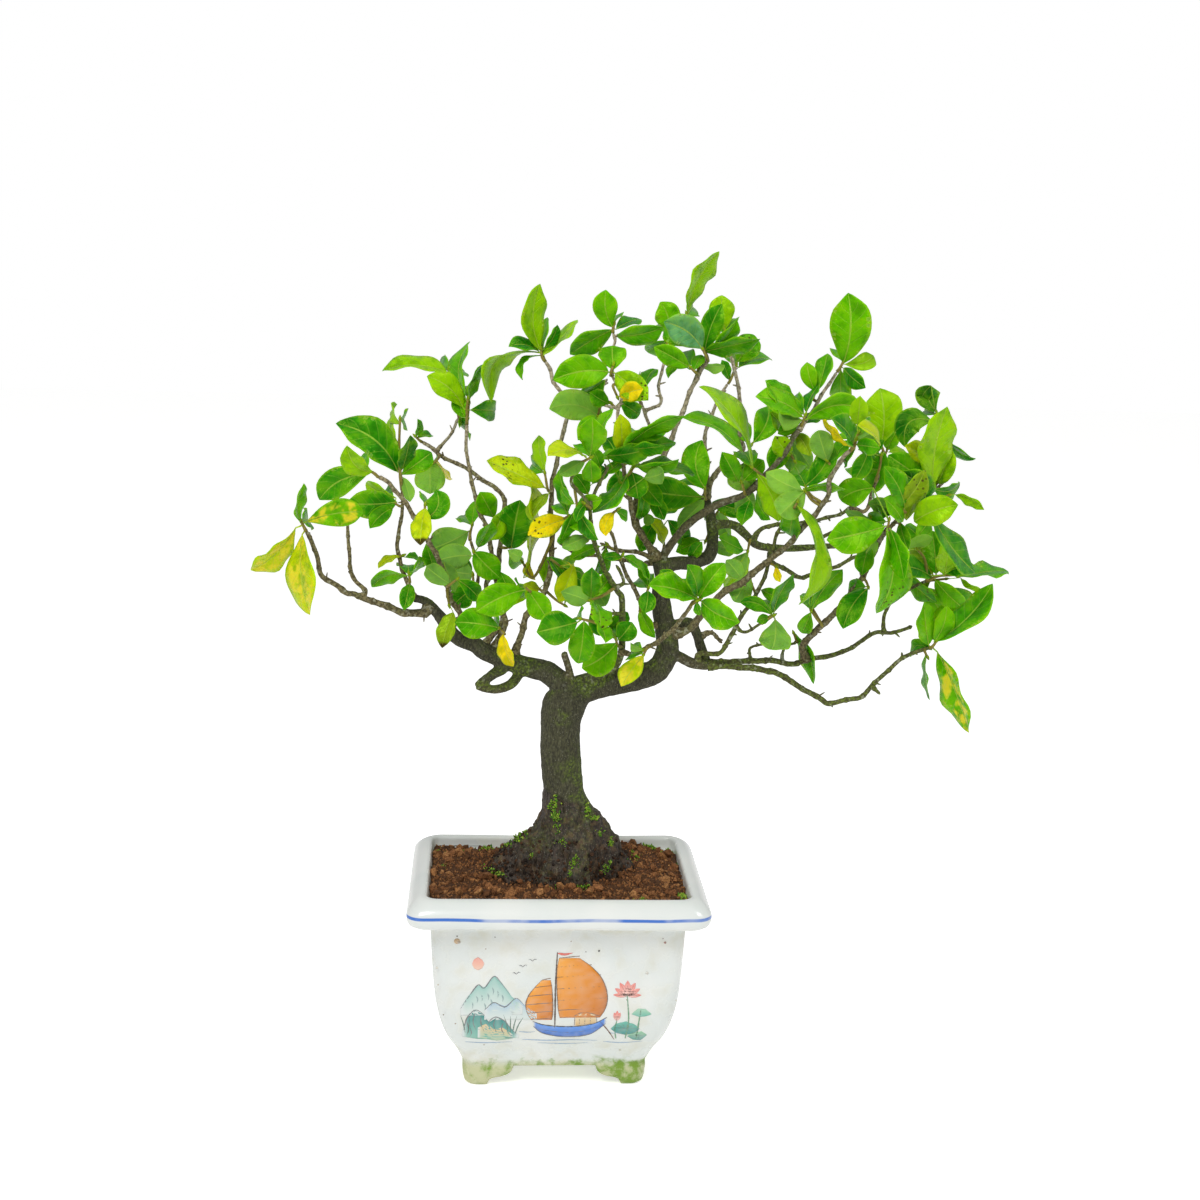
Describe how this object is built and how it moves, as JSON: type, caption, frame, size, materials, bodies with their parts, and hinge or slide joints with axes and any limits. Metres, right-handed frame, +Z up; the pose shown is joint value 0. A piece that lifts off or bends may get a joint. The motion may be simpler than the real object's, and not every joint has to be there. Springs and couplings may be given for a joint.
{
  "type": "persimmon bonsai",
  "caption": "Small persimmon tree trained as a bonsai, with branches and leafy shoots, rooted in soil in a footed rectangular glazed pot.",
  "frame": {"origin": "on the standing surface, under the middle of the whole plant's box", "axes": "+Z up, the way the tree grows; the painted long side of the pot faces -Y; +X to the right seen from that side"},
  "size_m": [0.492, 0.2346, 0.533],
  "materials": {
    "glazed_porcelain": "white glaze, gloss, stained",
    "bark": "rough dark bark, mossy",
    "leaf": "glossy leathery leaf",
    "soil": "crumbly red-brown clay granules",
    "moss": "soft moss",
    "plastic_mesh": "plain"
  },
  "bodies": {
    "root": {"drainage_screen_left": "plastic_mesh", "drainage_screen_right": "plastic_mesh", "moss_front": "moss", "moss_right_edge": "moss", "pot": "glazed_porcelain", "shoot_centre": "leaf", "shoot_centre_dark": "leaf", "shoot_centre_left": "leaf", "shoot_centre_low": "leaf", "shoot_centre_spotted": "leaf", "shoot_centre_yellow": "leaf", "shoot_dark_pair": "leaf", "shoot_far_left": "leaf", "shoot_front_rosette": "leaf", "shoot_left_bright": "leaf", "shoot_left_bright_low": "leaf", "shoot_left_dark": "leaf", "shoot_left_hanging": "leaf", "shoot_left_inner": "leaf", "shoot_left_inner_high": "leaf", "shoot_left_low": "leaf", "shoot_left_middle": "leaf", "shoot_left_pale": "leaf", "shoot_left_rear": "leaf", "shoot_left_spotted": "leaf", "shoot_left_yellow": "leaf", "shoot_low_bright": "leaf", "shoot_low_centre": "leaf", "shoot_low_inner": "leaf", "shoot_low_right_cluster": "leaf", "shoot_low_right_tip": "leaf", "shoot_low_upright": "leaf", "shoot_low_yellow": "leaf", "shoot_right_big": "leaf", "shoot_right_curled": "leaf", "shoot_right_folded": "leaf", "shoot_right_light": "leaf", "shoot_right_long": "leaf", "shoot_right_mid_low": "leaf", "shoot_right_middle": "leaf", "shoot_right_pale": "leaf", "shoot_right_rear": "leaf", "shoot_right_rear_high": "leaf", "shoot_right_tall": "leaf", "shoot_right_top": "leaf", "shoot_right_upper": "leaf", "shoot_right_upper_rear": "leaf", "shoot_top_centre": "leaf", "shoot_top_centre_low": "leaf", "shoot_top_left": "leaf", "shoot_top_rear": "leaf", "shoot_top_right": "leaf", "shoot_top_right_far": "leaf", "shoot_top_right_low": "leaf", "shoot_top_right_rear": "leaf", "shoot_top_yellow": "leaf", "shoot_upper_left": "leaf", "shoot_upper_left_arch": "leaf", "soil": "soil", "trunk_and_branches": "bark"}
  },
  "joints": []
}
